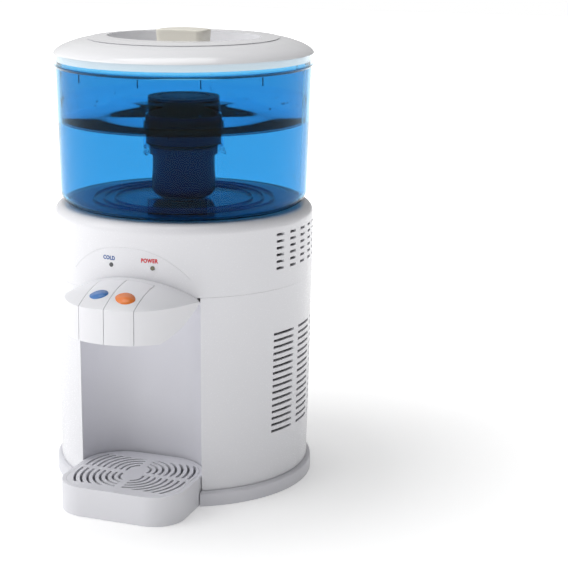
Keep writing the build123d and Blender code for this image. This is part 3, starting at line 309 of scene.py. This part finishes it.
def levelTicks(bm):
    t = ticks
    for angle in t["angles"]:
        turn = Matrix.Rotation(math.radians(angle), 4, "Z")
        made = bmesh.ops.create_cube(bm, size=1)["verts"]
        for v in made:
            flat = Vector(((t["radius"] + (v.co.x - 0.5) * t["depth"]) * mm, v.co.y * 2 * t["half"] * mm,
                           (t["low"] + (v.co.z + 0.5) * (t["high"] - t["low"])) * mm))
            v.co = turn @ flat


newPiece("level_ticks", levelTicks, "ppCartridgeNavy", "filter_chamber")

# air caught round the filter's nut, and just under the raw water's surface
bubbles = dict(seed=7, count=46, radius=(0.7, 1.9), ring=(34.5, 41.5), heights=(318.5, 325.0),
               segments=(12, 8), levelCount=40, levelRadius=(0.4, 1.1), levelRing=(60, 117),
               levelDepth=(0.5, 12), levelSegments=(10, 6))


def addBubble(bm, spot, radius, segments):
    bmesh.ops.create_uvsphere(bm, u_segments=segments[0], v_segments=segments[1], radius=radius * mm,
                              matrix=Matrix.Translation(spot))


def bubbleCluster(bm):
    b = bubbles
    chance = random.Random(b["seed"])
    for _ in range(b["count"]):
        a = chance.uniform(0, 2 * math.pi)
        reach = chance.uniform(*b["ring"])
        size = chance.uniform(*b["radius"])
        spot = Vector((reach * math.cos(a), reach * math.sin(a), chance.uniform(*b["heights"]))) * mm
        addBubble(bm, spot, size, b["segments"])
    for _ in range(b["levelCount"]):
        a = chance.uniform(0, 2 * math.pi)
        reach = chance.uniform(*b["levelRing"])
        height = water["level"] - chance.uniform(*b["levelDepth"])
        spot = Vector((reach * math.cos(a), reach * math.sin(a), height)) * mm
        addBubble(bm, spot, chance.uniform(*b["levelRadius"]), b["levelSegments"])


newPiece("bubbles", bubbleCluster, "airBubble", "filter_chamber")
print("tank detailed")

# raised arch above the lamps and the printed words
front = dict(radius=127.5, archWire=0.35, wordDepth=0.14, wordLift=0.02, wordWeight=0.045, wordSpacing=1.12,
             wordExtrude=0.01)
arch = dict(middle=-6.0, half=60.0, crest=247.9, drop=27.0, power=2.5, steps=96)


def archLine():
    # flat-topped arch, given across the front and in height
    line = []
    for i in range(arch["steps"] + 1):
        share = 2 * i / arch["steps"] - 1
        line.append((arch["middle"] + share * arch["half"],
                     arch["crest"] - arch["drop"] * abs(share) ** arch["power"]))
    return line


def onBody(x, z, lift=0.0):
    # a point given across the front and in height, laid on the cabinet's round face
    r = front["radius"] + lift
    a = math.asin(max(-1, min(1, x / front["radius"])))
    return Vector((r * mm * math.sin(a), -r * mm * math.cos(a), z * mm))


newPiece("arch_moulding", lambda bm: tube(bm, [onBody(x, z) for x, z in archLine()], front["archWire"] * mm),
         "absHousingMoulded", "cabinet")


def printWord(name, text, xLow, xHigh, zLow, zHigh, material):
    # a word set flat, scaled to its box in millimetres, then wrapped on the round face
    curve = bpy.data.curves.new(name, "FONT")
    curve.body = text
    curve.extrude = front["wordExtrude"]
    curve.offset = front["wordWeight"]
    curve.space_character = front["wordSpacing"]
    holder = bpy.data.objects.new(name + "_flat", curve)
    scene.collection.objects.link(holder)
    bpy.context.view_layer.update()
    settled = holder.evaluated_get(bpy.context.evaluated_depsgraph_get())
    mesh = bpy.data.meshes.new_from_object(settled)
    bpy.data.objects.remove(holder)
    bpy.data.curves.remove(curve)
    xs = [v.co.x for v in mesh.vertices]
    ys = [v.co.y for v in mesh.vertices]
    spanX, spanY, lowX, lowY = max(xs) - min(xs), max(ys) - min(ys), min(xs), min(ys)
    for v in mesh.vertices:
        x = xLow + (v.co.x - lowX) / spanX * (xHigh - xLow)
        z = zLow + (v.co.y - lowY) / spanY * (zHigh - zLow)
        v.co = onBody(x, z, front["wordLift"] if v.co.z < 0 else front["wordDepth"])
    mesh.name = name
    word = bpy.data.objects.new(name, mesh)
    scene.collection.objects.link(word)
    mesh.materials.clear()
    mesh.materials.append(mats[material])
    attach(word, "cabinet")


printWord("cold_word", "COLD", -29.8, -16.8, 235.1, 239.0, "inkBluePrinted")
printWord("power_word", "POWER", 10.0, 26.1, 235.4, 239.5, "inkRedPrinted")
print("front printed")

# coloured signs on the two buttons
crown = dict(axisY=-130.0, crest=220.3, along=115.0, across=118.0)
signs = dict(low=-0.1, high=0.15, steps=40, power=1.25,
             cold=dict(x=-13.6, y=-168.5, halfX=9.2, halfY=7.2),
             ambient=dict(x=13.6, y=-170.5, halfX=9.6, halfY=8.2))


def crownHeight(x, y):
    # height of the canopy's doubly curved top
    rho = crown["along"] - (crown["across"] - math.sqrt(crown["across"] ** 2 - x * x))
    return crown["crest"] - crown["along"] + math.sqrt(rho * rho - (y - crown["axisY"]) ** 2)


def almond(t, power):
    # leaf outline with its points left and right
    return math.cos(t), math.copysign(abs(math.sin(t)) ** power, math.sin(t))


def signPlate(bm, spec):
    # thin leaf that follows the button's curved top
    steps = signs["steps"]
    rows = []
    hubs = []
    for level in (signs["low"], signs["high"]):
        row = []
        for i in range(steps):
            u, v = almond(2 * math.pi * i / steps, signs["power"])
            x = spec["x"] + u * spec["halfX"]
            y = spec["y"] + v * spec["halfY"]
            row.append(bm.verts.new((x * mm, y * mm, (crownHeight(x, y) + level) * mm)))
        rows.append(row)
    for i in range(steps):
        k = (i + 1) % steps
        bm.faces.new((rows[0][i], rows[0][k], rows[1][k], rows[1][i]))
    for level in (signs["low"], signs["high"]):
        height = crownHeight(spec["x"], spec["y"]) + level
        hubs.append(bm.verts.new((spec["x"] * mm, spec["y"] * mm, height * mm)))
    for row, hub in zip(rows, hubs):
        for i in range(steps):
            bm.faces.new((row[i], row[(i + 1) % steps], hub))


newPiece("cold_sign", lambda bm: signPlate(bm, signs["cold"]), "inkIconBluePrinted", "cold_key")
newPiece("ambient_sign", lambda bm: signPlate(bm, signs["ambient"]), "inkOrangePrinted", "ambient_key")
print("buttons signed")

# camera
cameraSetup = dict(place=(0.6102162, -1.4699623, 0.5738853), turn=(1.376501, 0.002411, 0.394294),
                   lens=103.7768, sensor=36, shiftX=0.18, shiftY=-0.13)
camData = bpy.data.cameras.new("camera")
camData.lens = cameraSetup["lens"]
camData.sensor_width = cameraSetup["sensor"]
camData.shift_x = cameraSetup["shiftX"]
camData.shift_y = cameraSetup["shiftY"]
camera = bpy.data.objects.new("camera", camData)
camera.location = cameraSetup["place"]
camera.rotation_euler = Euler(cameraSetup["turn"], "XYZ")
scene.collection.objects.link(camera)
scene.camera = camera

# pale matt paper sweep; its glow rises away from the dispenser, so it stays white and keeps the shadow
paper = dict(size=6, colour="FAFAFA", rough=0.9, specular=0.1, near=0.2, far=1.0, nearGlow=0.26, farGlow=1.0)
bm = bmesh.new()
bmesh.ops.create_grid(bm, x_segments=1, y_segments=1, size=paper["size"])
floorMesh = bpy.data.meshes.new("floor")
bm.to_mesh(floorMesh)
bm.free()
floor = bpy.data.objects.new("floor", floorMesh)
scene.collection.objects.link(floor)
floorMat = bpy.data.materials.new("paperSweepMatt")
floorMat.use_nodes = True
floorShader = floorMat.node_tree.nodes["Principled BSDF"]
floorShader.inputs["Base Color"].default_value = toLinear(paper["colour"])
floorShader.inputs["Roughness"].default_value = paper["rough"]
floorShader.inputs["Specular IOR Level"].default_value = paper["specular"]
floorShader.inputs["Emission Color"].default_value = toLinear("FFFFFF")
floorTree = floorMat.node_tree
floorPlace = floorTree.nodes.new("ShaderNodeTexCoord")
floorReach = addNode(floorTree, "ShaderNodeVectorMath", {"operation": "LENGTH"},
                     i0=floorPlace.outputs["Object"])
floorGlow = addNode(floorTree, "ShaderNodeMapRange", Value=floorReach.outputs["Value"],
                    From_Min=paper["near"], From_Max=paper["far"], To_Min=paper["nearGlow"],
                    To_Max=paper["farGlow"])
floorTree.links.new(floorGlow.outputs[0], floorShader.inputs["Emission Strength"])
floorMesh.materials.append(floorMat)

# studio: two big soft sources, one high on the left and one overhead
lights = [
    dict(name="softLeft", place=(-1.5, -1.3, 1.7), aim=(0, 0, 0.2), size=1.8, power=14),
    dict(name="topBox", place=(-0.15, -0.1, 1.9), aim=(0, 0, 0.2), size=1.2, power=11),
]
for spec in lights:
    data = bpy.data.lights.new(spec["name"], "AREA")
    data.shape = "SQUARE"
    data.size = spec["size"]
    data.energy = spec["power"]
    lamp = bpy.data.objects.new(spec["name"], data)
    lamp.location = spec["place"]
    lamp.rotation_euler = (Vector(spec["aim"]) - Vector(spec["place"])).to_track_quat("-Z", "Y").to_euler()
    scene.collection.objects.link(lamp)

# white to the eye and through the clear plastic, but dimmer to the right for soft light and gloss
surround = dict(toward=(-0.97, 0.12, 0.2), low=-0.35, high=0.9, dim=0.12, bright=0.8)
world = bpy.data.worlds.new("studioAir")
scene.world = world
world.use_nodes = True
air = world.node_tree
air.nodes.clear()
airOut = air.nodes.new("ShaderNodeOutputWorld")
where = air.nodes.new("ShaderNodeTexCoord")
lean = addNode(air, "ShaderNodeVectorMath", {"operation": "DOT_PRODUCT"}, i0=where.outputs["Generated"],
               i1=surround["toward"])
glow = addNode(air, "ShaderNodeMapRange", Value=lean.outputs["Value"], From_Min=surround["low"],
               From_Max=surround["high"], To_Min=surround["dim"], To_Max=surround["bright"])
seen = air.nodes.new("ShaderNodeLightPath")
through = addNode(air, "ShaderNodeMath", {"operation": "MAXIMUM"}, i0=seen.outputs["Is Camera Ray"],
                  i1=seen.outputs["Is Transmission Ray"])
pick = addNode(air, "ShaderNodeMath", {"operation": "MAXIMUM"}, i0=through.outputs[0], i1=glow.outputs[0])
back = addNode(air, "ShaderNodeBackground", Color=(1, 1, 1, 1), Strength=pick.outputs[0])
air.links.new(back.outputs[0], airOut.inputs[0])
scene.view_settings.view_transform = "Standard"
print("studio lit")
